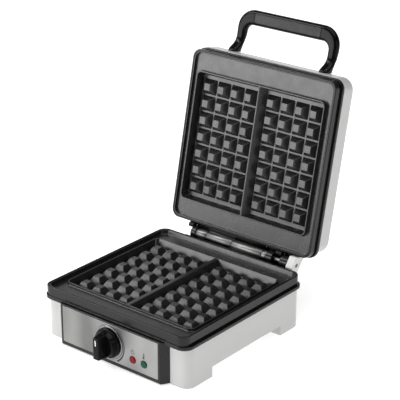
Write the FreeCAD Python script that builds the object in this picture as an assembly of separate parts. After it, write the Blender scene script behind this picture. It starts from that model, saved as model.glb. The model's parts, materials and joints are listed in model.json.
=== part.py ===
import FreeCAD, Part
import math
import os

# Waffle maker for two waffles, standing on a table with its lid open.
# +X is the right-hand side seen from the front, -Y the front, +Z up.
# The origin is on the table, under the middle of the peg grid of the lower plate.
# Every lid piece is built as it sits with the lid shut, then swung open about the hinge pin.

V = FreeCAD.Vector
X = V(1, 0, 0)
Y = V(0, 1, 0)
Z = V(0, 0, 1)

# ---- driving dimensions, mm -------------------------------------------------
# peg grid, the same on both plates
PITCH = 24.0
COLUMNS = 4
ROWS = 7
HALF_GAP = 7.45
PEG_TOP_SIDE = 10.0
PEG_BASE_SIDE = 20.8
PEG_H = 9.6
PLATE_T = 3.0

# levels above the table
LOWER_PEG_Z = 70.5
UPPER_PEG_Z = 78.5
BASE_RIM_Z = 76.1
LID_RIM_Z = 77.1
SHELL_TOP_Z = 57.5
LID_SHELL_Z = 94.0
LID_TOP_Z = 122.5

# hinge
HINGE_Y = 135.8
HINGE_Z = 76.9
OPEN_DEG = 102.35
PIN_R = 3.0
RUN_GAP = 0.05
KNUCKLE_R = 6.5
LEAF_T = 3.0
LEAD_Z = (97.0, 101.0)

# outlines, half widths in X and limits in Y
BODY_X = 124.4
BODY_FRONT = -118.0
BODY_BACK = 120.0
BODY_R = 14.0
LID_X = 125.2
LID_FRONT = -125.8
LID_BACK = 119.5
LID_R = 18.0
WALL = 2.6
RING_HALF = 122.6
RING_INNER = 120.1
TRAY_HALF = 118.3
SHANK_R = 1.7
CAVITY_X = 108.6
CAVITY_Y = 91.6
LEDGE_X = 113.4
LEDGE_Y = 100.0

# legs of the base
LEG_Z = 1.5
NOTCH_Z = 16.0
NOTCH_FRONT = -70.0
NOTCH_BACK = 75.0
LEG_INNER_X = 86.0
GLAND_Z = 27.0

# control panel
PANEL_Y = -128.0
PLATE_X = 83.0
PLATE_Z0 = 6.8
PLATE_Z1 = 58.9
KNOB_Z = 32.8
LAMP_R = 5.0
LAMP_Z = 21.0
RED_X = 40.5
GREEN_X = 59.6

# handle
HANDLE_OUT_X = 85.7
HANDLE_IN_X = 70.9
HANDLE_TIP = -187.0
BAR_H = 21.5
HANDLE_SCREW_X = (-81.8, -74.8, 74.8, 81.8)
HANDLE_SCREW_Z = 109.6

os.makedirs("parts", exist_ok=True)


# ---- helpers ----------------------------------------------------------------
def box(x0, x1, y0, y1, z0, z1):
    return Part.makeBox(x1 - x0, y1 - y0, z1 - z0, V(x0, y0, z0))


def rod(radius, start, axis, length):
    return Part.makeCylinder(radius, length, V(*start), axis)


def fuse(shapes):
    whole = shapes[0].multiFuse(shapes[1:]) if len(shapes) > 1 else shapes[0]
    return whole.removeSplitter()


def rounded_wire(half_x, y0, y1, radius, z):
    """Rounded rectangle, symmetric in X, drawn anticlockwise at height z."""
    corners = [(half_x, y0), (half_x, y1), (-half_x, y1), (-half_x, y0)]
    edges = []
    last = None
    first = None
    for k, (cx, cy) in enumerate(corners):
        sx = math.copysign(1, cx)
        sy = -1 if cy == y0 else 1
        a = V(cx - sx * radius, cy, z)
        b = V(cx, cy - sy * radius, z)
        enter, leave = (a, b) if k % 2 == 0 else (b, a)
        centre = V(cx - sx * radius, cy - sy * radius, z)
        mid = centre + V(sx, sy, 0).normalize() * radius
        if last is not None:
            edges.append(Part.makeLine(last, enter))
        else:
            first = enter
        edges.append(Part.Arc(enter, mid, leave).toShape())
        last = leave
    edges.append(Part.makeLine(last, first))
    return Part.Wire(edges)


def rounded_block(half_x, y0, y1, radius, z0, z1):
    low, high = min(z0, z1), max(z0, z1)
    return Part.Face(rounded_wire(half_x, y0, y1, radius, low)).extrude(Z * (high - low))


def square_wire(cx, cy, side, z):
    h = side / 2
    return Part.makePolygon([V(cx + sx * h, cy + sy * h, z)
                             for sx, sy in ((-1, -1), (1, -1), (1, 1), (-1, 1), (-1, -1))])


def side_prism(points, x0, x1):
    """Polygon of (y, z) points pushed along X."""
    ring = [V(x0, y, z) for y, z in points]
    return Part.Face(Part.makePolygon(ring + ring[:1])).extrude(X * (x1 - x0))


def fillet_where(shape, radius, keep):
    edges = [e for e in shape.Edges if keep(e)]
    return shape.makeFillet(radius, edges)


def at_height(edge, z):
    return abs(edge.BoundBox.ZMin - z) < 1e-4 and abs(edge.BoundBox.ZMax - z) < 1e-4


def pan_screw(head_at, into, head_r=3.4, head_h=2.0, shank_r=SHANK_R, length=10.0):
    """Pan-head screw; head_at is the centre of the seat under the head."""
    seat = V(*head_at)
    head = Part.makeCylinder(head_r, head_h, seat - into * head_h, into)
    shank = Part.makeCylinder(shank_r, length, seat, into)
    across = V(0, 1, 0) if abs(into.y) < 0.5 else V(1, 0, 0)
    other = into.cross(across)
    screw = head.fuse(shank)
    for d, e in ((across, other), (other, across)):
        corner = seat - into * (head_h + 0.1) - d * (head_r * 0.6) - e * 0.4
        slot = Part.makePolygon([corner, corner + d * head_r * 1.2, corner + d * head_r * 1.2 + e * 0.8,
                                 corner + e * 0.8, corner])
        screw = screw.cut(Part.Face(slot).extrude(into * 1.1))
    return screw


def tube_run(points, radius, bend):
    """Round bar that follows straight runs joined by bends."""
    pts = [V(*p) for p in points]
    edges = []
    start = pts[0]
    for before, here, after in zip(pts, pts[1:], pts[2:]):
        u = (before - here).normalize()
        w = (after - here).normalize()
        half = u.getAngle(w) / 2
        reach = bend / math.tan(half)
        a = here + u * reach
        b = here + w * reach
        centre = here + (u + w).normalize() * (bend / math.sin(half))
        mid = centre + (here - centre).normalize() * bend
        edges.append(Part.makeLine(start, a))
        edges.append(Part.Arc(a, mid, b).toShape())
        start = b
    edges.append(Part.makeLine(start, pts[-1]))
    path = Part.Wire(edges)
    circle = Part.Wire(Part.makeCircle(radius, pts[0], pts[1] - pts[0]))
    return path.makePipeShell([circle], True, False)


def write(name, shape):
    shape.exportStep("parts/" + name + ".step")


def write_lid(name, shape):
    opened = shape.copy()
    opened.rotate(V(0, HINGE_Y, HINGE_Z), X, -OPEN_DEG)
    write(name, opened)


def flip_to_lid(shape):
    """A piece made food side up over z = 0 is turned food side down over the upper peg tips."""
    turned = shape.mirror(V(0, 0, 0), Z)
    turned.translate(V(0, 0, UPPER_PEG_Z))
    return turned


# ---- baking plates ------------------------------------------------------------
def peg_centres():
    for side in (-1, 1):
        for column in range(COLUMNS):
            for row in range(ROWS):
                yield side * (HALF_GAP + PITCH * (column + 0.5)), PITCH * (row - (ROWS - 1) / 2)


def baking_plate(border_z, ridge_z, wall_z, foot_z, crest):
    """Cast plate, food side up, with z = 0 at the tips of the pegs.

    A flat border inside a low wall, a ridge round the cavity, a divider with a top 2 * crest wide,
    and pegs on the floor."""
    floor_z = -PEG_H
    under = floor_z - PLATE_T
    slope = 3.0
    rim_half = TRAY_HALF + 1.7
    slab = rounded_block(rim_half, -rim_half, rim_half, 11.5, border_z - PLATE_T, wall_z)
    slab = slab.cut(rounded_block(TRAY_HALF, -TRAY_HALF, TRAY_HALF, 9.8, border_z, wall_z + 1))
    tub = rounded_block(CAVITY_X + 2.6, -CAVITY_Y - 2.6, CAVITY_Y + 2.6, 8.6, under, border_z)
    foot = 2.0
    ridge = Part.makeLoft([
        rounded_wire(CAVITY_X + foot, -CAVITY_Y - foot, CAVITY_Y + foot, 7 + foot, border_z),
        rounded_wire(CAVITY_X + 1.6, -CAVITY_Y - 1.6, CAVITY_Y + 1.6, 8.0, ridge_z)], True, True)
    cavity = Part.makeLoft([
        rounded_wire(CAVITY_X - slope, -CAVITY_Y + slope, CAVITY_Y - slope, 4.0, floor_z),
        rounded_wire(CAVITY_X, -CAVITY_Y, CAVITY_Y, 6.0, ridge_z + 0.01)], True, True)
    body = slab.fuse(tub).fuse(ridge).cut(cavity)
    divider = Part.Face(Part.makePolygon([
        V(-HALF_GAP, -CAVITY_Y - 0.5, floor_z - 0.5), V(HALF_GAP, -CAVITY_Y - 0.5, floor_z - 0.5),
        V(crest, -CAVITY_Y - 0.5, ridge_z - 0.4), V(-crest, -CAVITY_Y - 0.5, ridge_z - 0.4),
        V(-HALF_GAP, -CAVITY_Y - 0.5, floor_z - 0.5)])).extrude(Y * (2 * CAVITY_Y + 1))
    pegs = []
    grow = (PEG_BASE_SIDE - PEG_TOP_SIDE) / PEG_H * 0.5
    for cx, cy in peg_centres():
        pegs.append(Part.makeLoft([square_wire(cx, cy, PEG_BASE_SIDE + grow, floor_z - 0.5),
                                   square_wire(cx, cy, PEG_TOP_SIDE, 0)], True, True))
    feet = [rod(4.5, (sx * 70, sy * 109, foot_z), Z, border_z - PLATE_T - foot_z + 0.5)
            for sx in (-1, 1) for sy in (-1, 1)]
    holes = [rod(SHANK_R, (sx * 70, sy * 109, foot_z - 1), Z, 6.5) for sx in (-1, 1) for sy in (-1, 1)]
    body = body.fuse([divider] + feet).cut(holes)
    return body.fuse(pegs).removeSplitter()


def trim_ring(rim_z, seat_z, lip_x, lip_front, lip_back, toward, knuckles):
    """Frame round a plate. seat_z is its face on the shell, toward is +1 if the rim is above it."""
    def up(mm):
        return seat_z + toward * mm

    wall = rounded_block(RING_HALF, -RING_HALF, RING_HALF, 12.0, seat_z, rim_z)
    edge = fillet_where(wall, 1.1, lambda e: at_height(e, rim_z))
    lip = rounded_block(lip_x, lip_front, lip_back, 14.5, seat_z, up(4.6))
    lip = fillet_where(lip, 1.2, lambda e: at_height(e, up(4.6)))
    groove = rounded_block(140, -140, 140, 20, up(4.6), up(7.4)).cut(
        rounded_block(RING_HALF - 0.9, -RING_HALF + 0.9, RING_HALF - 0.9, 11.1, up(4.6), up(7.4)))
    ring = edge.fuse(lip).cut(groove)
    ring = ring.cut(rounded_block(RING_INNER, -RING_INNER, RING_INNER, 11.6, up(3.0), rim_z + toward))
    ring = ring.cut(rounded_block(LEDGE_X, -LEDGE_Y, LEDGE_Y, 12.0, up(-1), up(3.5)))
    holes = [rod(1.9, (sx * px, sy * 109, min(up(-1), up(4))), Z, 5)
             for sx in (-1, 1) for sy in (-1, 1) for px in (70, 104)]
    holes += [rod(SHANK_R, (x, RING_INNER - 1, HINGE_Z - toward * 8.4), Y, 6)
              for x in leaf_screw_x(knuckles)]
    return ring.cut(holes).removeSplitter()


def heating_element(z, away):
    """Tubular heater under the plate floor; both ends turn away from the plate near the back."""
    half = [(12, 92, z + away * 17), (12, 92, z), (12, 62, z), (72, 62, z), (72, -58, z)]
    path = half + [(-x, y, level) for x, y, level in reversed(half)]
    bar = tube_run(path, 3.2, 13)
    pins = [rod(1.5, (sx * 12, 92, z + away * 17), Z * away, 3.5) for sx in (-1, 1)]
    return fuse([bar] + pins)


def reflector(z_floor, z_flange, toward):
    """Bright tray that throws the heat back at the plate."""
    low, high = z_floor, z_flange
    tray = rounded_block(106, -92, 95, 8, low, high)
    tray = tray.cut(rounded_block(105.2, -91.2, 94.2, 7.2, low + toward * 0.8, high + toward))
    flange = rounded_block(110.5, -106, 108, 8, high - toward * 0.8, high)
    flange = flange.cut(rounded_block(105.2, -91.2, 94.2, 7.2, high - toward * 2, high + toward))
    holes = [rod(6.5, (sx * 12, 90, min(low, high) - 1), Z, 14) for sx in (-1, 1)]
    slots = [rod(6.0, (sx * 70, sy * 109, min(low, high) - 1), Z, abs(high - low) + 3)
             for sx in (-1, 1) for sy in (-1, 1)]
    screws = [rod(5.0, (sx * 104, sy * 109, min(low, high) - 1), Z, abs(high - low) + 3)
              for sx in (-1, 1) for sy in (-1, 1)]
    return tray.fuse(flange).cut(holes + slots + screws).removeSplitter()


def build_plates():
    low = baking_plate(-1.0, 2.7, 4.9, SHELL_TOP_Z + 3.0 - LOWER_PEG_Z, 3.3)
    low.translate(V(0, 0, LOWER_PEG_Z))
    write("lower_plate", low)
    high = baking_plate(-3.1, 3.3, 1.0, UPPER_PEG_Z - LID_SHELL_Z + 3.0, 1.3)
    write_lid("upper_plate", flip_to_lid(high))
    write("base_trim_ring", trim_ring(BASE_RIM_Z, SHELL_TOP_Z, 125.7, -123.2, 125.4, 1, BASE_KNUCKLES))
    write_lid("lid_trim_ring", trim_ring(LID_RIM_Z, LID_SHELL_Z, 125.2, -124.6, 124.0, -1, LID_KNUCKLES))
    floor_under = LOWER_PEG_Z - PEG_H - PLATE_T
    write("lower_element", heating_element(floor_under - 3.3, -1))
    write("lower_reflector", reflector(46.0, SHELL_TOP_Z - 0.05, 1))
    roof_over = UPPER_PEG_Z + PEG_H + PLATE_T
    write_lid("upper_element", heating_element(roof_over + 3.3, 1))
    write_lid("upper_reflector", reflector(103.0, LID_SHELL_Z + 0.05, -1))


# ---- base ---------------------------------------------------------------------
POSTS = [(sx * 104, sy * 109) for sx in (-1, 1) for sy in (-1, 1)]
FOOT_SPOTS = [(sx * 107, y) for sx in (-1, 1) for y in (-100, 100)]
COVER_SPOTS = [(sx * 117.0, y) for sx in (-1, 1) for y in (-52, 58)]


def leg(sx, front):
    """Hollow corner leg, closed underneath."""
    y0, y1 = (BODY_FRONT, NOTCH_FRONT) if front else (NOTCH_BACK, BODY_BACK)
    envelope = rounded_block(BODY_X, BODY_FRONT, BODY_BACK, BODY_R, LEG_Z, NOTCH_Z + WALL)
    inside = rounded_block(BODY_X - WALL, BODY_FRONT + WALL, BODY_BACK - WALL, BODY_R - WALL,
                           LEG_Z + WALL, NOTCH_Z + WALL + 1)
    x0, x1 = sorted((sx * LEG_INNER_X, sx * 130))
    block = envelope.common(box(x0, x1, y0, y1, 0, 30))
    pocket_x = sorted((sx * (LEG_INNER_X + WALL), sx * 130))
    pocket_y = (y0, y1 - WALL) if front else (y0 + WALL, y1)
    pocket = inside.common(box(pocket_x[0], pocket_x[1], pocket_y[0], pocket_y[1], 0, 30))
    return block.cut(pocket)


def build_base():
    outer = rounded_block(BODY_X, BODY_FRONT, BODY_BACK, BODY_R, LEG_Z, SHELL_TOP_Z)
    inner = rounded_block(BODY_X - WALL, BODY_FRONT + WALL, BODY_BACK - WALL, BODY_R - WALL, 0, 90)
    skin = outer.cut(inner)
    skin = skin.cut(box(-140, 140, NOTCH_FRONT, NOTCH_BACK, 0, NOTCH_Z))
    skin = skin.cut(box(-LEG_INNER_X, LEG_INNER_X, 80, 140, 0, NOTCH_Z))
    legs = [leg(sx, front) for sx in (-1, 1) for front in (True, False)]
    bosses = [rod(5.0, (x, y, NOTCH_Z + WALL), Z, 12) for x, y in COVER_SPOTS]
    posts = [rod(4.6, (x, y, LEG_Z + WALL), Z, SHELL_TOP_Z - LEG_Z - WALL) for x, y in POSTS]
    shell = skin.fuse(legs + bosses + posts)
    cuts = [rod(SHANK_R, (x, y, NOTCH_Z), Z, 12) for x, y in COVER_SPOTS]
    cuts += [rod(SHANK_R, (x, y, SHELL_TOP_Z - 14), Z, 15) for x, y in POSTS]
    cuts += [rod(2.6, (x, y, 0), Z, 6) for x, y in FOOT_SPOTS]
    cuts.append(box(-76, 76, BODY_FRONT - 1, BODY_FRONT + WALL + 1, 12, 52))
    cuts.append(rod(6.1, (-70, BODY_BACK - WALL - 1, GLAND_Z), Y, 6))
    cuts += [rod(1.9, (x, BODY_BACK - WALL - 1, z), Y, 6) for x in (-50, 50) for z in (42.5, 50.5)]
    cuts += [rod(1.9, (x, BODY_FRONT - 1, z), Y, 6) for x in (-86, 86) for z in (24, 50)]
    cuts.append(rod(4.0, (84, BODY_BACK - WALL - 1, 48), Y, 6))
    write("base_shell", shell.cut(cuts).removeSplitter())

    gap = 0.25
    cover = box(-BODY_X + WALL + gap, BODY_X - WALL - gap, NOTCH_FRONT + gap, NOTCH_BACK - gap,
                NOTCH_Z, NOTCH_Z + 2.0)
    cover = cover.fuse(box(-LEG_INNER_X + gap, LEG_INNER_X - gap, BODY_FRONT + WALL + gap,
                           BODY_BACK - WALL - gap, NOTCH_Z, NOTCH_Z + 2.0))
    cuts = [rod(2.0, (x, y, 0), Z, 40) for x, y in COVER_SPOTS]
    cuts += [box(x - 1.5, x + 1.5, y - 22, y + 22, 0, 40) for x in range(-66, 67, 12) for y in (-40, 50)]
    pads = [rod(4.5, (x, y, NOTCH_Z + 2.0), Z, 0.6) for x, y in COVER_SPOTS]
    write("bottom_cover", cover.fuse(pads).cut(cuts).removeSplitter())
    cover_screws = [pan_screw((x, y, NOTCH_Z), Z, length=9) for x, y in COVER_SPOTS]
    write("cover_screws", Part.makeCompound(cover_screws))

    feet = []
    for x, y in FOOT_SPOTS:
        pad = rod(9.0, (x, y, 0), Z, LEG_Z)
        pad = fillet_where(pad, 0.6, lambda e: at_height(e, 0))
        feet.append(pad.fuse(rod(2.5, (x, y, LEG_Z), Z, 4.4)).removeSplitter())
    write("rubber_feet", Part.makeCompound(feet))
    ring_screws = [pan_screw((x, y, SHELL_TOP_Z + 3.0), V(0, 0, -1), length=12) for x, y in POSTS]
    write("ring_screws", Part.makeCompound(ring_screws))
    plate_screws = [pan_screw((sx * 70, sy * 109, SHELL_TOP_Z), Z, length=8)
                    for sx in (-1, 1) for sy in (-1, 1)]
    write("lower_plate_screws", Part.makeCompound(plate_screws))

    gland = rod(8.4, (-70, BODY_BACK, GLAND_Z), Y, 2.5)
    gland = fillet_where(gland, 1.2, lambda e: abs(e.BoundBox.YMin - BODY_BACK - 2.5) < 1e-4)
    gland = fuse([gland, rod(6.0, (-70, BODY_BACK - WALL - 3, GLAND_Z), Y, WALL + 4),
                  rod(7.4, (-70, BODY_BACK - WALL - 3, GLAND_Z), Y, 2.9)])
    write("cord_gland", gland.cut(rod(4.2, (-70, BODY_BACK - 10, GLAND_Z), Y, 20)))


# ---- control panel --------------------------------------------------------------
def panel_wire(half_x, z0, z1, y):
    return Part.makePolygon([V(-half_x, y, z0), V(half_x, y, z0), V(half_x, y, z1), V(-half_x, y, z1),
                             V(-half_x, y, z0)])


def build_controls():
    back = BODY_FRONT - 0.05
    face = PANEL_Y
    frame = Part.makeLoft([panel_wire(95.0, 2.4, 58.0, back),
                           panel_wire(86.3, 1.2, 61.0, face)], True, True)
    frame = fillet_where(frame, 1.2, lambda e: abs(e.BoundBox.YMin - face) < 1e-4
                         and abs(e.BoundBox.YMax - face) < 1e-4)
    frame = frame.cut(box(-110, 110, -123.6, -100, SHELL_TOP_Z - 0.1, 80))
    seat = 0.15
    frame = frame.cut(box(-PLATE_X - seat, PLATE_X + seat, face - 1, face + 0.9,
                          PLATE_Z0 - seat, PLATE_Z1 + seat))
    frame = frame.cut(box(-80, 80, face + 3.4, back + 1, 9.6, 55.4))
    holes = [rod(LAMP_R + 0.15, (x, face - 1, LAMP_Z), Y, 8) for x in (RED_X, GREEN_X)]
    holes.append(rod(5.4, (0, face - 1, KNOB_Z), Y, 8))
    threads = [rod(SHANK_R, (x, -122.6, z), Y, 6) for x in (-86, 86) for z in (24, 50)]
    write("control_frame", frame.cut(holes + threads).removeSplitter())

    plate = box(-PLATE_X, PLATE_X, face - 0.1, face + 0.8, PLATE_Z0, PLATE_Z1)
    plate = fillet_where(plate, 1.5, lambda e: e.BoundBox.YLength > 0.5)
    write("control_plate", plate.cut(holes))

    bezel = rod(24.0, (0, face - 2.0, KNOB_Z), Y, 1.9)
    bezel = fillet_where(bezel, 1.0, lambda e: abs(e.BoundBox.YMax - (face - 2.0)) < 1e-4)
    write("knob_bezel", bezel.cut(rod(21.3, (0, face - 3, KNOB_Z), Y, 4)))

    skirt = rod(20.6, (0, face - 5.4, KNOB_Z), Y, 4.6)
    skirt = fillet_where(skirt, 1.2, lambda e: abs(e.BoundBox.YMax - (face - 5.4)) < 1e-4)
    dome = Part.makeCone(18.6, 16.6, 7.6, V(0, face - 5.0, KNOB_Z), V(0, -1, 0))
    dome = fillet_where(dome, 1.4, lambda e: abs(e.BoundBox.YMax - (face - 12.6)) < 1e-4)
    grip_root = [V(-6.2, face - 6, KNOB_Z - 17.6), V(6.2, face - 6, KNOB_Z - 17.6),
                 V(6.2, face - 6, KNOB_Z + 17.4), V(-6.2, face - 6, KNOB_Z + 17.4)]
    grip_tip = [V(-4.9, face - 26, KNOB_Z - 15.6), V(4.9, face - 26, KNOB_Z - 15.6),
                V(4.9, face - 26, KNOB_Z + 14.8), V(-4.9, face - 26, KNOB_Z + 14.8)]
    grip = Part.makeLoft([Part.makePolygon(w + w[:1]) for w in (grip_root, grip_tip)], True, True)
    grip = fillet_where(grip, 1.6, lambda e: e.BoundBox.YMin < face - 7)
    knob = fuse([skirt, dome, grip])
    knob = knob.cut(rod(3.05, (0, face - 17, KNOB_Z), Y, 20))
    line = box(-0.9, 0.9, face - 26.05, face - 25.0, KNOB_Z + 4.5, KNOB_Z + 12.4)
    write("knob", knob.cut(line).removeSplitter())
    write("knob_pointer", line)

    spindle = rod(3.0, (0, face - 16.5, KNOB_Z), Y, 32.5)
    write("thermostat_spindle", spindle.cut(box(-4, 4, face - 17, face - 2, KNOB_Z + 1.8, KNOB_Z + 4)))
    body_y = BODY_FRONT + 3.6
    bushing = rod(5.0, (0, face + 1.6, KNOB_Z), Y, body_y - face - 1.6)
    body = box(-16, 16, body_y, body_y + 18, KNOB_Z - 13, KNOB_Z + 12)
    body = fillet_where(body, 2.0, lambda e: e.BoundBox.YLength > 10)
    tabs = [box(x - 3, x + 3, body_y + 18, body_y + 27, KNOB_Z + z, KNOB_Z + z + 0.8)
            for x in (-9, 9) for z in (-8, 6)]
    thermostat = fuse([body, bushing] + tabs)
    write("thermostat", thermostat.cut(rod(3.05, (0, face, KNOB_Z), Y, 17)))

    for name, x in (("red_lamp", RED_X), ("green_lamp", GREEN_X)):
        lens = rod(LAMP_R, (x, face - 1.5, LAMP_Z), Y, 8.5)
        lens = fillet_where(lens, 1.1, lambda e: abs(e.BoundBox.YMax - (face - 1.5)) < 1e-4)
        write(name, lens)
    holders = []
    for x in (RED_X, GREEN_X):
        clip = rod(6.8, (x, face + 7.1, LAMP_Z), Y, 3.0)
        tail = rod(2.8, (x, face + 10.1, LAMP_Z), Y, 12)
        leads = [rod(0.5, (x + dx, face + 22, LAMP_Z), Y, 6) for dx in (-1.5, 1.5)]
        holders.append(fuse([clip, tail] + leads))
    write("lamp_holders", Part.makeCompound(holders))
    screws = [pan_screw((x, BODY_FRONT + WALL, z), V(0, -1, 0), length=7)
              for x in (-86, 86) for z in (24, 50)]
    write("frame_screws", Part.makeCompound(screws))


# ---- wiring inside the base -------------------------------------------------------
def build_wiring():
    block = box(40, 74, 84, 98, 24, 36)
    wells = [rod(3.0, (x, 91, 31), Z, 6) for x in (47, 57, 67)]
    ports = [rod(2.2, (x, 83, 27.5), Y, 16) for x in (47, 57, 67)]
    base_pad = box(36, 78, 84, 98, 18.05, 24)
    write("terminal_block", block.fuse(base_pad).cut(wells + ports).removeSplitter())
    screws = [rod(2.6, (x, 91, 31), Z, 3.0).cut(box(x - 0.4, x + 0.4, 88, 94, 33.2, 35))
              for x in (47, 57, 67)]
    write("terminal_screws", Part.makeCompound(screws))
    tab_y = BODY_FRONT + 3.6 + 27
    floor_under = LOWER_PEG_Z - PEG_H - PLATE_T - 3.3
    pin_z = floor_under - 20.5
    runs = [
        [(47, 83.5, 27.5), (47, 60, 27.5), (9, 20, 25.2), (9, tab_y + 0.5, 25.2)],
        [(-9, tab_y + 0.5, 25.2), (-9, 40, 25.2), (-12, 70, 25.2), (-12, 92, 25.2), (-12, 92, pin_z)],
        [(57, 98.5, 27.5), (57, 107, 27.5), (12, 107, 25.2), (12, 92, 25.2), (12, 92, pin_z)],
        [(67, 98.5, 27.5), (67, 108, 27.5), (84, 108, 48), (84, 128, 48)],
    ]
    wires = [tube_run(points, 1.4, 4) for points in runs]
    write("internal_leads", Part.makeCompound(wires))


# ---- hinge ------------------------------------------------------------------------
BASE_KNUCKLES = [(-50.5, -5.3), (48.4, 56.0)]
LID_KNUCKLES = [(-68.5, -51.1), (-4.7, 47.8)]


def hinge_leaf(knuckles, bore, side):
    """Knuckles with a web and a fixing flange; side is -1 below the pin line and +1 above it."""
    web_near, web_far = HINGE_Z + side * 0.45, HINGE_Z + side * (0.45 + LEAF_T)
    z0, z1 = sorted((web_near, web_far))
    f0, f1 = sorted((web_near, HINGE_Z + side * 12.0))
    x_low = min(k[0] for k in knuckles)
    x_high = max(k[1] for k in knuckles)
    parts = [box(x_low, x_high, RING_HALF + 0.1, HINGE_Y, z0, z1),
             box(x_low, x_high, RING_HALF + 0.1, RING_HALF + 2.3, f0, f1)]
    parts += [rod(KNUCKLE_R, (x0, HINGE_Y, HINGE_Z), X, x1 - x0) for x0, x1 in knuckles]
    leaf = fuse(parts)
    leaf = leaf.cut(rod(bore, (-90, HINGE_Y, HINGE_Z), X, 200))
    for left, right in zip(sorted(knuckles), sorted(knuckles)[1:]):
        leaf = leaf.cut(rod(KNUCKLE_R + 0.4, (left[1], HINGE_Y, HINGE_Z), X, right[0] - left[1]))
    holes = [rod(2.1, (x, RING_HALF - 1, HINGE_Z + side * 8.4), Y, 6) for x in leaf_screw_x(knuckles)]
    return leaf.cut(holes).removeSplitter()


def leaf_screw_x(knuckles):
    x_low = min(k[0] for k in knuckles)
    x_high = max(k[1] for k in knuckles)
    return [x_low + (x_high - x_low) * t for t in (0.08, 0.36, 0.64, 0.92)]


def leaf_screws(knuckles, side):
    return Part.makeCompound([
        pan_screw((x, RING_HALF + 2.3, HINGE_Z + side * 8.4), V(0, -1, 0), head_r=3.0, head_h=1.6, length=4.2)
        for x in leaf_screw_x(knuckles)])


def cheek(x0, x1, radius):
    lower = side_prism([(HINGE_Y - radius, HINGE_Z), (HINGE_Y - radius, 66), (138, 62),
                        (HINGE_Y + radius, HINGE_Z)], x0, x1)
    return rod(radius, (x0, HINGE_Y, HINGE_Z), X, x1 - x0).fuse(lower)


def build_hinge():
    write("base_hinge_leaf", hinge_leaf(BASE_KNUCKLES, PIN_R, -1))
    write_lid("lid_hinge_leaf", hinge_leaf(LID_KNUCKLES, PIN_R + RUN_GAP, 1))
    pin = rod(PIN_R, (-76.0, HINGE_Y, HINGE_Z), X, 178.0)
    write("hinge_pin", fillet_where(pin, 0.6, lambda e: e.BoundBox.XLength < 1e-4))
    write("base_hinge_screws", leaf_screws(BASE_KNUCKLES, -1))
    write_lid("lid_hinge_screws", leaf_screws(LID_KNUCKLES, 1))

    outline = [(BODY_BACK + 0.05, 37), (130, 39), (138, 48), (138, 66), (134.5, 69.6), (127, 69.6),
               (127, 57.2), (BODY_BACK + 0.05, 57.2)]
    hollow = [(BODY_BACK - 1, 39.6), (128.8, 41.4), (135.5, 49), (135.5, 65), (133.4, 67.1), (129.5, 67.1),
              (129.5, 54.7), (BODY_BACK - 1, 54.7)]
    beam = side_prism(outline, -93, 93)
    beam = fillet_where(beam, 3.0, lambda e: e.BoundBox.ZMin > 45 and e.BoundBox.XLength < 1e-4
                        and e.BoundBox.YMin > 127.5)
    beam = beam.cut(side_prism(hollow, -90.4, 90.4))
    ribs = [side_prism(hollow[1:7] + [(BODY_BACK + 0.05, 54.7), (BODY_BACK + 0.05, 39.6)], x - 1.2, x + 1.2)
            for x in (-70, 0, 70)]
    cheeks = [cheek(-77.0, -69.3, 8.8), cheek(56.8, 66.5, 8.8), cheek(81.0, 93.0, 8.8)]
    shield = [(137.9, 65.5), (143.0, 71.2), (143.0, 81.2), (144.5, 81.2), (144.5, 70.2), (137.9, 62.5)]
    shields = [side_prism(shield, -69.4, 56.9), side_prism(shield, 66.4, 81.1)]
    carrier = fuse([beam] + ribs + cheeks + shields)
    carrier = carrier.cut(rod(PIN_R, (-80, HINGE_Y, HINGE_Z), X, 190))
    studs = [rod(3.6, (x, BODY_BACK + 0.05, z), Y, 18) for x in (-50, 50) for z in (42.5, 50.5)]
    holes = [rod(SHANK_R, (x, BODY_BACK - 1, z), Y, 8) for x in (-50, 50) for z in (42.5, 50.5)]
    carrier = carrier.fuse([stud.common(side_prism(outline, -93, 93)) for stud in studs])
    write("hinge_carrier", carrier.cut(holes).removeSplitter())
    screws = [pan_screw((x, BODY_BACK - WALL, z), Y, length=8) for x in (-50, 50) for z in (42.5, 50.5)]
    write("carrier_screws", Part.makeCompound(screws))

    lugs = []
    for x0, x1 in ((-86.4, -78.0), (69.0, 78.5)):
        foot = box(x0, x1, RING_HALF + 0.1, 126.4, 78.4, 89.2)
        lug = rod(3.7, (x0, 126.6, 77.6), X, x1 - x0)
        lugs.append(foot.fuse(lug).removeSplitter())
    write_lid("lid_stop_lugs", Part.makeCompound(lugs))


def build_lead_arm():
    """Channel that carries the leads of the upper heater past the hinge pin."""
    x0, x1 = 93.7, 104.5
    tilt = math.radians(26)
    along = V(0, -math.cos(tilt), math.sin(tilt))
    across = V(0, math.sin(tilt), math.cos(tilt)) * 8.6
    pivot = V(x0, HINGE_Y, HINGE_Z)
    near = pivot - along * 9.6
    far = pivot + along * 21
    outline = [near - across, near + across, far + across, far - across]
    arm = Part.Face(Part.makePolygon(outline + outline[:1])).extrude(X * (x1 - x0))
    arm = fillet_where(arm, 5.0, lambda e: e.BoundBox.XLength > 5
                       and (e.BoundBox.Center - near - X * (x1 - x0) / 2).Length < 9)
    arm = arm.common(box(0, 200, LID_BACK + 0.1, 200, 60, 130))
    arm = arm.cut(box(0, 200, 100, RING_HALF + 1.6, 60, LID_SHELL_Z))
    stem = box(x0, x1, LID_BACK + 0.1, 126.5, 82, 104)
    stem = stem.cut(box(0, 200, 100, 124.3, 60, LID_SHELL_Z + 0.1))
    arm = fuse([arm, stem])
    bores = [rod(1.4, (96, LID_BACK - 1, z), Y, 4.6) for z in LEAD_Z]
    return arm.cut(bores + [rod(PIN_R + RUN_GAP, (0, HINGE_Y, HINGE_Z), X, 200)])


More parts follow.
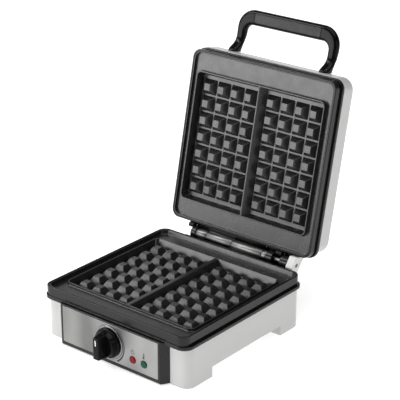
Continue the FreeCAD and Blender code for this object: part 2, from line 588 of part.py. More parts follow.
# ---- lid --------------------------------------------------------------------------
def handle_profile():
    """Side view of the handle as a face in the YZ plane at x = 0."""
    def p(y, z):
        return V(0, y, z)

    lower = Part.BezierCurve()
    lower.setPoles([p(LID_FRONT, 104.0), p(-132.5, 104.6), p(-134, 119.6), p(-148, 119.6)])
    upper = Part.BezierCurve()
    upper.setPoles([p(-157, 131.4), p(-146, 131.4), p(-137, 124.5), p(LID_FRONT, 121.6)])
    tip = Part.Arc(p(HANDLE_TIP + 4, 119.6), p(HANDLE_TIP, 125.5), p(HANDLE_TIP + 4, 131.4))
    edges = [
        lower.toShape(),
        Part.makeLine(p(-148, 119.6), p(HANDLE_TIP + 4, 119.6)),
        tip.toShape(),
        Part.makeLine(p(HANDLE_TIP + 4, 131.4), p(-157, 131.4)),
        upper.toShape(),
        Part.makeLine(p(LID_FRONT, 121.6), p(LID_FRONT, 104.0)),
    ]
    return Part.Face(Part.Wire(edges))


def build_handle():
    side = handle_profile()
    side.translate(V(-110, 0, 0))
    swept = side.extrude(X * 220)
    bar_in = HANDLE_TIP + BAR_H
    plan = rounded_block(HANDLE_OUT_X, HANDLE_TIP, -60, 27.0, 95, 140)
    plan = plan.cut(rounded_block(HANDLE_IN_X, bar_in, -40, 11.0, 90, 150))
    loop = swept.common(plan).removeSplitter()
    insert = box(-56.5, 56.5, HANDLE_TIP + 4.6, bar_in - 4.2, 119.6, 122.0)
    insert = fillet_where(insert, 2.5, lambda e: e.BoundBox.ZLength > 2)
    bores = [rod(1.5, (x, LID_FRONT - 5.6, HANDLE_SCREW_Z), Y, 8) for x in HANDLE_SCREW_X]
    write_lid("handle", loop.cut([insert] + bores).removeSplitter())
    write_lid("handle_grip_insert", insert)
    screws = [pan_screw((x, LID_FRONT + WALL, HANDLE_SCREW_Z), V(0, -1, 0),
                        head_r=2.6, shank_r=1.5, length=8)
              for x in HANDLE_SCREW_X]
    write_lid("handle_screws", Part.makeCompound(screws))


def build_lid():
    outer = rounded_block(LID_X, LID_FRONT, LID_BACK, LID_R, LID_SHELL_Z, LID_TOP_Z)
    outer = fillet_where(outer, 10.0, lambda e: at_height(e, LID_TOP_Z))
    inner = rounded_block(LID_X - WALL, LID_FRONT + WALL, LID_BACK - WALL, LID_R - WALL,
                          LID_SHELL_Z - 1, LID_TOP_Z - WALL)
    inner = fillet_where(inner, 7.5, lambda e: at_height(e, LID_TOP_Z - WALL))
    posts = [rod(4.6, (x, y, LID_SHELL_Z), Z, LID_TOP_Z - LID_SHELL_Z - 1) for x, y in POSTS]
    shell = outer.cut(inner).fuse(posts)
    cuts = [rod(SHANK_R, (x, y, LID_SHELL_Z - 1), Z, 15) for x, y in POSTS]
    cuts += [rod(1.5, (x, LID_FRONT - 1, HANDLE_SCREW_Z), Y, 6) for x in HANDLE_SCREW_X]
    cuts += [rod(1.6, (96, LID_BACK - 4, z), Y, 8) for z in LEAD_Z]
    write_lid("lid_shell", shell.cut(cuts).removeSplitter())
    screws = [pan_screw((x, y, LID_SHELL_Z - 3.0), Z, length=12) for x, y in POSTS]
    write_lid("lid_ring_screws", Part.makeCompound(screws))
    plate_screws = [pan_screw((sx * 70, sy * 109, LID_SHELL_Z), V(0, 0, -1), length=8)
                    for sx in (-1, 1) for sy in (-1, 1)]
    write_lid("upper_plate_screws", Part.makeCompound(plate_screws))
    write_lid("lead_arm", build_lead_arm())
    roof = UPPER_PEG_Z + PEG_H + PLATE_T + 3.3
    top = roof + 18.7
    runs = [
        [(13.5, 92, top), (96, 92, top), (96, 112, LEAD_Z[0]), (96, 123, LEAD_Z[0])],
        [(-12, 93.5, top), (-12, 104, top), (96, 104, top), (96, 112, LEAD_Z[1]), (96, 123, LEAD_Z[1])],
    ]
    leads = [tube_run(points, 1.3, 3) for points in runs]
    write_lid("upper_leads", Part.makeCompound(leads))


build_plates()
build_base()
build_controls()
build_wiring()
build_hinge()
build_lid()
build_handle()
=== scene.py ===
import json
import math
import bmesh
import bpy
from mathutils import Matrix, Vector


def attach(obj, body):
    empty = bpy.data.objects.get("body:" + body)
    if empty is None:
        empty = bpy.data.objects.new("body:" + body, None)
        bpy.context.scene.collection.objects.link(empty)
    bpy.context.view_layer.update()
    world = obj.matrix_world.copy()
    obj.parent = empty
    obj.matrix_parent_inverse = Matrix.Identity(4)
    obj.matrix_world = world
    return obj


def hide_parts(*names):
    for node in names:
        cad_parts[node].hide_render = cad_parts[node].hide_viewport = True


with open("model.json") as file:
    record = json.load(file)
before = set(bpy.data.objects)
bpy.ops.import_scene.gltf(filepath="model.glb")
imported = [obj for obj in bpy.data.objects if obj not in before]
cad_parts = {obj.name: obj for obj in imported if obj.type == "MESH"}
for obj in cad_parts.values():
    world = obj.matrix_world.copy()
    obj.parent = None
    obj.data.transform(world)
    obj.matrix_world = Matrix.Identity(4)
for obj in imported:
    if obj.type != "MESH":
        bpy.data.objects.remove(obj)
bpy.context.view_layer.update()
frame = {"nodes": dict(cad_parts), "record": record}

# Pieces are drawn in mm in the frame of the CAD design, and finish_piece takes them to metres.
# Those of the lid are drawn with the lid shut and then swung open about the hinge pin.
NODES = frame["nodes"]
MM = 0.001
OPEN = math.radians(102.35)
HINGE_Y = 135.8
HINGE_Z = 76.9


# ---- placing -------------------------------------------------------------------
def swing(bm):
    """Turns a mesh drawn with the lid shut, in mm, to where it is with the lid open."""
    pivot = Vector((0, HINGE_Y, HINGE_Z))
    turn = Matrix.Translation(pivot) @ Matrix.Rotation(-OPEN, 4, "X") @ Matrix.Translation(-pivot)
    bmesh.ops.transform(bm, matrix=turn, verts=bm.verts)


def even_shading(obj):
    """Weights normals by face area, so that large flat faces stay flat beside rounded edges."""
    normal = obj.modifiers.new("even_shading", "WEIGHTED_NORMAL")
    normal.weight = 100
    normal.keep_sharp = True


def finish_piece(name, bm, body, material, replaced=(), smooth=True, sharp=40):
    """Makes an object that rides on body and takes the place of the CAD nodes in replaced."""
    if body == "lid":
        swing(bm)
    bmesh.ops.transform(bm, matrix=Matrix.Scale(MM, 4), verts=bm.verts)
    bmesh.ops.recalc_face_normals(bm, faces=bm.faces)
    mesh = bpy.data.meshes.new(name)
    bm.to_mesh(mesh)
    bm.free()
    obj = bpy.data.objects.new(name, mesh)
    bpy.context.scene.collection.objects.link(obj)
    if smooth:
        for poly in mesh.polygons:
            poly.use_smooth = True
        mesh.set_sharp_from_angle(angle=math.radians(sharp))
    mesh.materials.append(material)
    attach(obj, body)
    if replaced:
        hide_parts(*replaced)
    return obj


# ---- materials -----------------------------------------------------------------
class Nodes:
    """Small helper that lays out the nodes of one material."""

    def __init__(self, name, color, metallic=0.0, roughness=0.5, **sockets):
        self.mat = bpy.data.materials.new(name)
        self.mat.use_nodes = True
        self.tree = self.mat.node_tree
        self.bsdf = self.tree.nodes["Principled BSDF"]
        self.set(self.bsdf, "Base Color", (*color, 1))
        self.set(self.bsdf, "Metallic", metallic)
        self.set(self.bsdf, "Roughness", roughness)
        for key, value in sockets.items():
            self.set(self.bsdf, key.replace("_", " "), value)
        self.coord = self.add("ShaderNodeTexCoord")

    def add(self, kind, **values):
        """A new node; each value is one of its properties or else one of its sockets."""
        node = self.tree.nodes.new(kind)
        for key, value in values.items():
            if hasattr(node, key):
                setattr(node, key, value)
            else:
                self.set(node, key.replace("_", " "), value)
        return node

    @staticmethod
    def set(node, socket, value):
        node.inputs[socket].default_value = value

    def link(self, a, b):
        self.tree.links.new(a, b)

    def space(self, scale):
        """Object coordinates stretched by scale along each axis."""
        mapping = self.add("ShaderNodeMapping")
        self.set(mapping, "Scale", scale)
        self.link(self.coord.outputs["Object"], mapping.inputs["Vector"])
        return mapping.outputs["Vector"]

    def noise(self, scale, stretch=(1, 1, 1), detail=3.0, rough=0.55):
        """Noise in object coordinates, which are in metres."""
        node = self.add("ShaderNodeTexNoise", Scale=scale, Detail=detail, Roughness=rough)
        self.link(self.space(stretch), node.inputs["Vector"])
        return node.outputs["Fac"]

    def ramp(self, value, low, high, a, b):
        """Takes a value from low to high over into one from a to b."""
        node = self.add("ShaderNodeMapRange")
        for key, number in (("From Min", low), ("From Max", high), ("To Min", a), ("To Max", b)):
            self.set(node, key, number)
        self.link(value, node.inputs["Value"])
        return node.outputs["Result"]

    def vary_roughness(self, value, a, b, low=0.3, high=0.7):
        self.link(self.ramp(value, low, high, a, b), self.bsdf.inputs["Roughness"])

    def tint(self, value, dark, light, low=0.3, high=0.7):
        mix = self.add("ShaderNodeMix", data_type="RGBA")
        mix.inputs["A"].default_value = (*dark, 1)
        mix.inputs["B"].default_value = (*light, 1)
        self.link(self.ramp(value, low, high, 0, 1), mix.inputs["Factor"])
        self.link(mix.outputs["Result"], self.bsdf.inputs["Base Color"])

    def bump(self, value, strength, distance):
        node = self.add("ShaderNodeBump", Strength=strength, Distance=distance)
        self.link(value, node.inputs["Height"])
        self.link(node.outputs["Normal"], self.bsdf.inputs["Normal"])


def make_materials():
    """The materials by name, each with fine noise in its roughness, its tint or its surface; the steel
    plate's tint also carries a broad painted sheen.
    """
    mats = {}

    n = Nodes("white_enamel", (0.56, 0.56, 0.555), roughness=0.3, Coat_Weight=0.2, Coat_Roughness=0.15)
    n.bump(n.noise(900, detail=2), 0.05, 0.0002)
    n.vary_roughness(n.noise(60), 0.29, 0.31)
    mats["white_enamel"] = n.mat

    n = Nodes("black_gloss", (0.005, 0.005, 0.0055), roughness=0.2, Specular_IOR_Level=0.32)
    n.bump(n.noise(700, detail=2), 0.06, 0.0002)
    n.vary_roughness(n.noise(90, detail=5), 0.17, 0.3)
    mats["black_gloss"] = n.mat

    n = Nodes("black_satin", (0.003, 0.003, 0.0034), roughness=0.17, Specular_IOR_Level=0.13)
    n.bump(n.noise(1400, detail=2), 0.12, 0.0002)
    n.vary_roughness(n.noise(120, detail=5), 0.15, 0.21)
    mats["black_satin"] = n.mat

    n = Nodes("grey_grip", (0.035, 0.035, 0.037), roughness=0.5)
    n.bump(n.noise(2200, detail=2), 0.3, 0.0003)
    n.vary_roughness(n.noise(150), 0.52, 0.68)
    mats["grey_grip"] = n.mat

    n = Nodes("non_stick", (0.012, 0.012, 0.0125), roughness=0.27, Specular_IOR_Level=0.6,
              Coat_Weight=0.22, Coat_Roughness=0.3)
    n.tint(n.noise(1500, detail=3, rough=0.7), (0.007, 0.007, 0.0075), (0.019, 0.019, 0.02), 0.35, 0.75)
    n.bump(n.noise(520, detail=4), 0.2, 0.0004)
    n.vary_roughness(n.noise(70, detail=5), 0.24, 0.34)
    mats["non_stick"] = n.mat

    n = Nodes("steel_plate", (0.28, 0.28, 0.275), metallic=1.0, roughness=0.32, Anisotropic=0.5)
    grain = n.noise(60, stretch=(1.0, 60, 60), detail=4, rough=0.6)
    # painted sheen: broad lighter and darker bands in the steel's colour stand in for the lamps' reflections
    # on the plate
    painted_sheen = n.noise(17, stretch=(1.0, 1.0, 0.6), detail=1)
    n.tint(painted_sheen, (0.17, 0.17, 0.167), (0.38, 0.38, 0.375), 0.32, 0.68)
    n.vary_roughness(grain, 0.27, 0.42)
    n.bump(grain, 0.06, 0.0001)
    mats["steel_plate"] = n.mat

    n = Nodes("bezel_chrome", (0.22, 0.22, 0.22), metallic=1.0, roughness=0.24)
    n.vary_roughness(n.noise(300), 0.2, 0.28)
    mats["bezel_chrome"] = n.mat

    n = Nodes("hinge_steel", (0.16, 0.16, 0.157), metallic=1.0, roughness=0.3)
    grain = n.noise(40, stretch=(1.0, 22, 22), detail=4)
    n.vary_roughness(grain, 0.27, 0.45)
    n.tint(n.noise(80, detail=4), (0.13, 0.13, 0.127), (0.195, 0.195, 0.19))
    n.bump(grain, 0.05, 0.0002)
    mats["hinge_steel"] = n.mat

    n = Nodes("screw_zinc", (0.6, 0.6, 0.58), metallic=1.0, roughness=0.3)
    n.vary_roughness(n.noise(500), 0.22, 0.42)
    mats["screw_zinc"] = n.mat

    n = Nodes("reflector_tin", (0.7, 0.7, 0.69), metallic=1.0, roughness=0.38)
    n.vary_roughness(n.noise(45, detail=5), 0.3, 0.5)
    n.bump(n.noise(90), 0.06, 0.0004)
    mats["reflector_tin"] = n.mat

    n = Nodes("element_sheath", (0.28, 0.26, 0.24), metallic=0.9, roughness=0.45)
    n.tint(n.noise(30, detail=4), (0.2, 0.18, 0.17), (0.34, 0.32, 0.3))
    n.bump(n.noise(500), 0.1, 0.0003)
    mats["element_sheath"] = n.mat

    for key, color in (("red_lens", (0.2, 0.002, 0.006)), ("green_lens", (0.0, 0.075, 0.035))):
        n = Nodes(key, color, roughness=0.12, Specular_IOR_Level=0.16)
        n.bump(n.noise(300), 0.05, 0.0002)
        mats[key] = n.mat

    n = Nodes("white_plastic", (0.8, 0.8, 0.79), roughness=0.36)
    n.bump(n.noise(1100), 0.08, 0.0002)
    n.vary_roughness(n.noise(100), 0.3, 0.42)
    mats["white_plastic"] = n.mat

    n = Nodes("thermostat_case", (0.48, 0.48, 0.46), metallic=1.0, roughness=0.4)
    n.vary_roughness(n.noise(200), 0.34, 0.5)
    mats["thermostat_case"] = n.mat

    n = Nodes("rubber_black", (0.03, 0.03, 0.03), roughness=0.75)
    n.bump(n.noise(1500), 0.25, 0.0003)
    mats["rubber_black"] = n.mat

    n = Nodes("lead_sleeve", (0.6, 0.58, 0.52), roughness=0.6)
    n.bump(n.noise(900), 0.15, 0.0003)
    mats["lead_sleeve"] = n.mat

    n = Nodes("panel_print", (0.03, 0.03, 0.032), roughness=0.5)
    n.vary_roughness(n.noise(400), 0.42, 0.58)
    mats["panel_print"] = n.mat
    return mats


MATS = make_materials()
SLOT_OF = {s["node"]: s["material_slot"] for s in frame["record"]["subparts"]}

# width of the rounding on the edges of pieces that keep the CAD mesh, in mm
EDGE_ROUNDING = {"control_frame": 0.5, "control_plate": 0.4, "knob": 0.4, "hinge_carrier": 0.5,
                 "lid_stop_lugs": 0.5, "lead_arm": 0.8}


def soften_edges(obj, width):
    """Merges the split vertices of a CAD mesh, then rounds its sharp edges."""
    weld = obj.modifiers.new("join_corners", "WELD")
    weld.merge_threshold = 1e-6
    flat = obj.modifiers.new("flat_faces", "DECIMATE")
    flat.decimate_type = "DISSOLVE"
    flat.angle_limit = math.radians(0.6)
    edge = obj.modifiers.new("rounded_edges", "BEVEL")
    edge.width = width * MM
    edge.segments = 3
    edge.limit_method = "ANGLE"
    edge.angle_limit = math.radians(28)


for node, obj in NODES.items():
    obj.data.materials.clear()
    obj.data.materials.append(MATS[SLOT_OF[node]])
    if node in EDGE_ROUNDING:
        soften_edges(obj, EDGE_ROUNDING[node])
    even_shading(obj)


# ---- shapes lofted along rounded rectangles ---------------------------------------
def outline(half_x, y0, y1, radius, z, steps=10):
    """Points of a rounded rectangle at one height, anticlockwise from the right side."""
    points = []
    for sx, sy, start in ((1, 1, 0), (-1, 1, 90), (-1, -1, 180), (1, -1, 270)):
        cx = sx * (half_x - radius)
        cy = y1 - radius if sy > 0 else y0 + radius
        for k in range(steps + 1):
            a = math.radians(start + 90 * k / steps)
            points.append((cx + radius * math.cos(a), cy + radius * math.sin(a), z))
    return points


def eased(stations, closed):
    """Stations (half_x, y0, y1, corner radius, z, rounding) with each rounding worked into a curve."""
    count = len(stations)
    result = []
    for k, station in enumerate(stations):
        rounding = station[5]
        here = Vector(station[:5])
        if not rounding or (not closed and k in (0, count - 1)):
            result.append(here)
            continue
        before = Vector(stations[k - 1][:5])
        after = Vector(stations[(k + 1) % count][:5])

        def step_to(other):
            span = math.hypot(other[2] - here[2], other[4] - here[4])
            return here.lerp(other, min(rounding / span, 0.48))

        a, b = step_to(before), step_to(after)
        for t in (0, 0.2, 0.4, 0.6, 0.8, 1):
            result.append(a.lerp(here, t).lerp(here.lerp(b, t), t))
    return result


def skin(bm, rows, closed=False):
    """Quads between rows of vertices that each run round; closed joins the last row to the first."""
    pairs = list(zip(rows, rows[1:]))
    if closed:
        pairs.append((rows[-1], rows[0]))
    for a, b in pairs:
        for k in range(len(a)):
            m = (k + 1) % len(a)
            bm.faces.new((a[k], a[m], b[m], b[k]))


def loft(bm, stations, closed=False):
    """Skins the stations; an open loft is capped at both ends."""
    rows = []
    for station in eased(stations, closed):
        rows.append([bm.verts.new(p) for p in outline(*station)])
    skin(bm, rows, closed)
    if not closed:
        bm.faces.new(list(reversed(rows[0])))
        bm.faces.new(rows[-1])


# ---- baking plates ----------------------------------------------------------------
PITCH = 24.0
COLUMNS = 4
ROWS = 7
HALF_GAP = 7.45
PEG_H = 9.6
TIP_HALF = 5.0
PEG_FLARE = 6.1
CAVITY_X = 108.6
CAVITY_Y = 91.6
BORDER_HALF = 120.0
RIM_INNER = 118.3
CAST_T = 3.0


def add_peg(bm, cx, cy):
    """Four-sided peg with its tip at z = 0, soft edges and a flared foot."""
    def half(z):
        return TIP_HALF - PEG_FLARE * z / PEG_H

    # height, half width and corner radius, from the foot up
    levels = [(-PEG_H - 0.2, half(-PEG_H) - 0.1, 1.1),
              (-PEG_H + 0.12, half(-PEG_H) - 0.35, 1.1),
              (-PEG_H + 0.6, half(-PEG_H + 0.6) - 0.1, 1.0),
              (-0.6, half(-0.6), 0.7),
              (-0.34, half(-0.34), 0.65),
              (-0.16, half(-0.16) - 0.06, 0.6),
              (-0.04, half(0) - 0.12, 0.55),
              (0.0, half(0) - 0.3, 0.5)]
    rows = []
    for z, side, radius in levels:
        corners = outline(side, -side, side, radius, 0, 4)
        rows.append([bm.verts.new((cx + x, cy + y, z)) for x, y, _ in corners])
    skin(bm, rows)
    bm.faces.new(rows[-1])


def add_divider(bm, ridge_z, crest):
    """Long bar between the two waffles, narrower towards its rounded top; crest is half its top width."""
    top = ridge_z - 0.4
    half = [(8.0, -PEG_H - 0.3), (7.6, -PEG_H + 0.2), (7.2, -PEG_H + 0.9), (crest + 0.15, top - 0.75),
            (crest - 0.1, top - 0.3), (crest - 0.4, top - 0.07), (crest * 0.5, top)]
    section = half + [(-x, z) for x, z in reversed(half)]
    ends = [[bm.verts.new((x, y, z)) for x, z in section] for y in (-CAVITY_Y - 0.4, CAVITY_Y + 0.4)]
    for k in range(len(section) - 1):
        bm.faces.new((ends[0][k], ends[0][k + 1], ends[1][k + 1], ends[1][k]))


def plate_piece(node, body, border_z, ridge_z, wall_z, crest, slope, level):
    """Casting drawn with its food side up and its peg tips at z = 0, then put at its level.

    border_z, ridge_z and wall_z are the tops of the flat border, of the ridge round the cavity and of
    the outer wall; slope is how much further the walls on the hinge side lean in.
    """
    def at(half_x, half_y, radius, z, rounding, lean=0.0):
        """lean moves the hinge side in, so that its wall slopes more than the other three."""
        return half_x, -half_y, half_y - lean, radius, z, rounding

    bm = bmesh.new()
    loft(bm, [
        at(CAVITY_X + 2.6, CAVITY_Y + 2.6, 8.6, -PEG_H - CAST_T, 0),
        at(CAVITY_X + 2.6, CAVITY_Y + 2.6, 8.6, border_z - CAST_T, 0),
        at(BORDER_HALF, BORDER_HALF, 11.5, border_z - CAST_T, 0.6),
        at(BORDER_HALF, BORDER_HALF, 11.5, wall_z, 0.7),
        at(RIM_INNER, RIM_INNER, 9.8, wall_z, 0.7, -0.35 * slope),
        at(RIM_INNER, RIM_INNER, 9.8, border_z, 1.0, 0.4 * slope),
        at(CAVITY_X + 2.0, CAVITY_Y + 2.0, 8.0, border_z, 1.1),
        at(CAVITY_X + 1.6, CAVITY_Y + 1.6, 7.6, ridge_z, 0.6),
        at(CAVITY_X, CAVITY_Y, 6.0, ridge_z, 0.5),
        at(CAVITY_X - 3.0, CAVITY_Y - 3.0, 4.0, -PEG_H, 1.2, slope),
        at(CAVITY_X - 6.0, CAVITY_Y - 6.0, 3.0, -PEG_H, 0, slope)])
    add_divider(bm, ridge_z, crest)
    for side in (-1, 1):
        for column in range(COLUMNS):
            for row in range(ROWS):
                add_peg(bm, side * (HALF_GAP + PITCH * (column + 0.5)), PITCH * (row - (ROWS - 1) / 2))
    if body == "lid":
        bmesh.ops.rotate(bm, matrix=Matrix.Rotation(math.pi, 3, "X"), verts=bm.verts)
    bmesh.ops.translate(bm, vec=(0, 0, level), verts=bm.verts)
    obj = finish_piece(node + "_casting", bm, body, MATS["non_stick"], (node,), sharp=50)
    even_shading(obj)


plate_piece("lower_plate", "base", border_z=-1.0, ridge_z=2.7, wall_z=4.9, crest=3.3, slope=2.6, level=70.5)
plate_piece("upper_plate", "lid", border_z=-3.1, ridge_z=3.3, wall_z=1.0, crest=1.3, slope=0.0, level=78.5)


# ---- trim rings ---------------------------------------------------------------------
RING_HALF = 122.6
GROOVE_HALF = 121.7
RING_INNER = 120.1
WINDOW = (113.4, -100.0, 100.0, 12.0)


def ring_piece(node, body, rim_z, seat_z, lip_x, lip_front, lip_back):
    """Frame with a lip on the shell at seat_z, a groove past the lip and its rim at rim_z."""
    toward = 1 if rim_z > seat_z else -1

    def up(mm):
        return seat_z + toward * mm

    def square(half, radius, z, rounding):
        return half, -half, half, radius, z, rounding

    lip = (lip_x, lip_front, lip_back, 14.5)
    bm = bmesh.new()
    loft(bm, [
        (*lip, up(0), 0.3),
        (*lip, up(4.6), 1.2),
        square(GROOVE_HALF, 11.1, up(4.6), 0.3),
        square(GROOVE_HALF, 11.1, up(7.4), 0.3),
        square(RING_HALF, 12.0, up(7.4), 0.4),
        square(RING_HALF, 12.0, rim_z, 1.1),
        square(RING_INNER, 11.6, rim_z, 0.4),
        square(RING_INNER, 11.6, up(3.0), 0),
        (*WINDOW, up(3.0), 0),
        (*WINDOW, up(0), 0)], closed=True)
    obj = finish_piece(node + "_moulding", bm, body, MATS["black_gloss"], (node,), sharp=50)
    even_shading(obj)


ring_piece("base_trim_ring", "base", 76.1, 57.5, 125.7, -123.2, 125.4)
ring_piece("lid_trim_ring", "lid", 77.1, 94.0, 125.2, -124.6, 124.0)


# ---- hinge -------------------------------------------------------------------------
BASE_KNUCKLES = [(-50.5, -5.3), (48.4, 56.0)]
LID_KNUCKLES = [(-68.5, -51.1), (-4.7, 47.8)]
BARREL_R = 7.4
PIN_BORE = 3.1
LEAF_FRONT = 122.7
# how far from the pin's height the webs begin and end, and how far the flange reaches
WEB_NEAR = 0.45
WEB_FAR = 3.45
FLANGE_REACH = 12.0


def add_box(bm, x0, x1, y0, y1, z0, z1, rounding):
    """Block between the given sides, with all its edges rounded."""
    made = bmesh.ops.create_cube(bm, size=1)["verts"]
    for v in made:
        v.co = Vector(((x0 + x1) / 2 + v.co.x * (x1 - x0), (y0 + y1) / 2 + v.co.y * (y1 - y0),
                       (z0 + z1) / 2 + v.co.z * (z1 - z0)))
    edges = list({e for v in made for e in v.link_edges})
    bmesh.ops.bevel(bm, geom=edges, offset=rounding, segments=2, affect="EDGES", profile=0.5)


def add_knuckle(bm, x0, x1, steps=64):
    """Tube along the hinge pin with softened ends."""
    soft = 0.5
    slight = soft * 0.3
    section = [(x0, PIN_BORE), (x0, BARREL_R - soft), (x0 + slight, BARREL_R - slight), (x0 + soft, BARREL_R),
               (x1 - soft, BARREL_R), (x1 - slight, BARREL_R - slight), (x1, BARREL_R - soft), (x1, PIN_BORE)]
    rows = []
    for k in range(steps):
        a = 2 * math.pi * k / steps
        c, s = math.cos(a), math.sin(a)
        rows.append([bm.verts.new((x, HINGE_Y + r * c, HINGE_Z + r * s)) for x, r in section])
    skin(bm, rows, closed=True)


def hinge_leaf(node, body, knuckles, side):
    """Bright knuckles, and a flange with webs that run into them, near-black as painted shade of the leaf
    behind the knuckles; side is -1 below the pin line.
    """
    bm = bmesh.new()
    for x0, x1 in knuckles:
        add_knuckle(bm, x0, x1)
    finish_piece(node + "_knuckles", bm, body, MATS["hinge_steel"], (node,))

    near, far, edge = (HINGE_Z + side * z for z in (WEB_NEAR, WEB_FAR, FLANGE_REACH))
    flange = sorted((near, edge))
    web = sorted((near, far))
    left, right = knuckles[0][0], knuckles[-1][1]
    # painted shade: the flange and webs of the steel leaf get near-black satin for the shadow they lie in
    bm = bmesh.new()
    add_box(bm, left, right, LEAF_FRONT, LEAF_FRONT + 2.2, *flange, 0.3)
    add_box(bm, left, right, LEAF_FRONT + 0.5, HINGE_Y - BARREL_R - 0.4, *web, 0.2)
    for x0, x1 in knuckles:
        add_box(bm, x0, x1, LEAF_FRONT + 0.5, HINGE_Y - BARREL_R + 1.5, *web, 0.3)
    finish_piece(node + "_flange_painted_shade", bm, body, MATS["black_satin"])


def hinge_guard():
    """Tabs that stand on the carrier behind the pin and close the gaps beside the leaves."""
    tall, mid, low = 87.6, 85.8, 84.2
    front, back, foot = 143.0, 144.5, 78.5
    bm = bmesh.new()
    for x0, x1, top in ((-86.2, -77.0, low), (-77.4, -69.0, tall), (42.0, 48.7, mid), (48.3, 68.6, tall),
                        (68.2, 79.4, low), (79.0, 93.2, tall)):
        add_box(bm, x0, x1, front, back, foot, top, 0.4)
    finish_piece("hinge_guard_tabs", bm, "base", MATS["black_satin"])


hinge_leaf("base_hinge_leaf", "base", BASE_KNUCKLES, -1)
hinge_leaf("lid_hinge_leaf", "lid", LID_KNUCKLES, 1)
hinge_guard()


# ---- handle --------------------------------------------------------------------
LID_FRONT = -125.8
HANDLE_TIP = -187.0
BAR_INNER = -165.5
FACE_Z = 119.6
# plan of the right arm and its bend, outside and inside: half width, then centre and radius of the bend
ARM_X = (85.7, 70.9)
BEND_X = (58.7, 59.9)
BEND_Y = (-160, -154.5)
BEND_R = (27, 11)
# grip insert
GRIP_HALF = 56.5
GRIP_CORNER = 2.4
# side view of the arms from the lid's front to where they run level, as the poles of two curves
LOWER = [(LID_FRONT, 104.0), (-132.5, 104.6), (-134, FACE_Z), (-148, FACE_Z)]
UPPER = [(-157, 131.4), (-146, 131.4), (-137, 124.5), (LID_FRONT, 121.6)]


def bezier(poles, t):
    """Point of a cubic curve."""
    a, b, c, d = poles
    k = 1 - t
    return [k ** 3 * a[i] + 3 * k * k * t * b[i] + 3 * k * t * t * c[i] + t ** 3 * d[i] for i in (0, 1)]


def height_at(poles, y):
    """Height of the side-view curve at a given y; flat past its end."""
    if y <= min(poles[0][0], poles[3][0]):
        return min(poles, key=lambda p: p[0])[1]
    low, high = 0.0, 1.0
    falling = poles[3][0] < poles[0][0]
    for _ in range(40):
        mid = (low + high) / 2
        if (bezier(poles, mid)[0] > y) == falling:
            low = mid
        else:
            high = mid
    return bezier(poles, low)[1]


def handle_stations():
    """Pairs of plan points, outside and inside of the loop, from the right root to the left one."""
    arm_steps, bend_steps, bar_steps = 26, 18, 12
    half = []
    for k in range(arm_steps):
        t = k / arm_steps
        half.append([(x, LID_FRONT + (y - LID_FRONT) * t) for x, y in zip(ARM_X, BEND_Y)])
    for k in range(bend_steps + 1):
        angle = math.pi / 2 * k / bend_steps
        c, s = math.cos(angle), math.sin(angle)
        half.append([(x + r * c, y - r * s) for x, y, r in zip(BEND_X, BEND_Y, BEND_R)])
    for k in range(1, bar_steps + 1):
        share = 1 - k / bar_steps
        half.append([(x * share, y) for x, y in zip(BEND_X, (HANDLE_TIP, BAR_INNER))])
    mirrored = [((-o[0], o[1]), (-i[0], i[1])) for o, i in reversed(half[:-1])]
    return half + mirrored


def section_outline(width, depth, r_out, r_in, count=7):
    """Rounded rectangle in shares of its width, from the inside out, and of its depth, from below."""
    points = []
    corners = ((r_in, r_in, r_in, 180), (width - r_out, r_out, r_out, 270),
               (width - r_out, depth - r_out, r_out, 0), (r_in, depth - r_in, r_in, 90))
    for cx, cz, radius, start in corners:
        for k in range(count):
            a = math.radians(start + 90 * k / (count - 1))
            points.append(((cx + radius * math.cos(a)) / width, (cz + radius * math.sin(a)) / depth))
    return points


def carve(obj, cutter):
    """Takes the cutter's shape out of obj for good, and removes the cutter."""
    cut = obj.modifiers.new("cut", "BOOLEAN")
    cut.operation = "DIFFERENCE"
    cut.solver = "EXACT"
    cut.object = cutter
    bpy.context.view_layer.update()
    graph = bpy.context.evaluated_depsgraph_get()
    mesh = bpy.data.meshes.new_from_object(obj.evaluated_get(graph))
    obj.modifiers.remove(cut)
    obj.data = mesh
    bpy.data.objects.remove(cutter)
    mesh.set_sharp_from_angle(angle=math.radians(50))


def handle_loop():
    bm = bmesh.new()
    rings = []
    for outer, inner in handle_stations():
        width = math.dist(outer, inner)
        y_mid = (outer[1] + inner[1]) / 2
        depth = height_at(UPPER, y_mid) - height_at(LOWER, y_mid)
        ring = []
        for along, up in section_outline(width, depth, 5.6, 5.2):
            x = inner[0] + (outer[0] - inner[0]) * along
            y = inner[1] + (outer[1] - inner[1]) * along
            low, high = height_at(LOWER, y), height_at(UPPER, y)
            ring.append(bm.verts.new((x, y, low + (high - low) * up)))
        rings.append(ring)
    skin(bm, rings)
    bm.faces.new(rings[0])
    bm.faces.new(list(reversed(rings[-1])))
    return finish_piece("handle_loop", bm, "lid", MATS["black_satin"], ("handle",), sharp=50)


def grip_block(grow, z0, z1, rounding):
    """The grip's outline, larger by grow on every side, from z0 to z1; rounding softens its face at z0."""
    bm = bmesh.new()
    x, y0, y1 = GRIP_HALF + grow, HANDLE_TIP + 4.6 - grow, BAR_INNER - 4.2 + grow
    bmesh.ops.create_cube(bm, size=1)
    bmesh.ops.scale(bm, vec=(2 * x, y1 - y0, z1 - z0), verts=bm.verts)
    bmesh.ops.translate(bm, vec=(0, (y0 + y1) / 2, (z0 + z1) / 2), verts=bm.verts)
    sides = [e for e in bm.edges if abs(e.verts[0].co.z - e.verts[1].co.z) > 0.1]
    bmesh.ops.bevel(bm, geom=sides, offset=GRIP_CORNER + grow, segments=6, profile=0.5, affect="EDGES")
    if rounding:
        rim = [e for e in bm.edges if e.verts[0].co.z < z0 + 0.01 and e.verts[1].co.z < z0 + 0.01]
        bmesh.ops.bevel(bm, geom=rim, offset=rounding, segments=3, profile=0.5, affect="EDGES")
    return bm


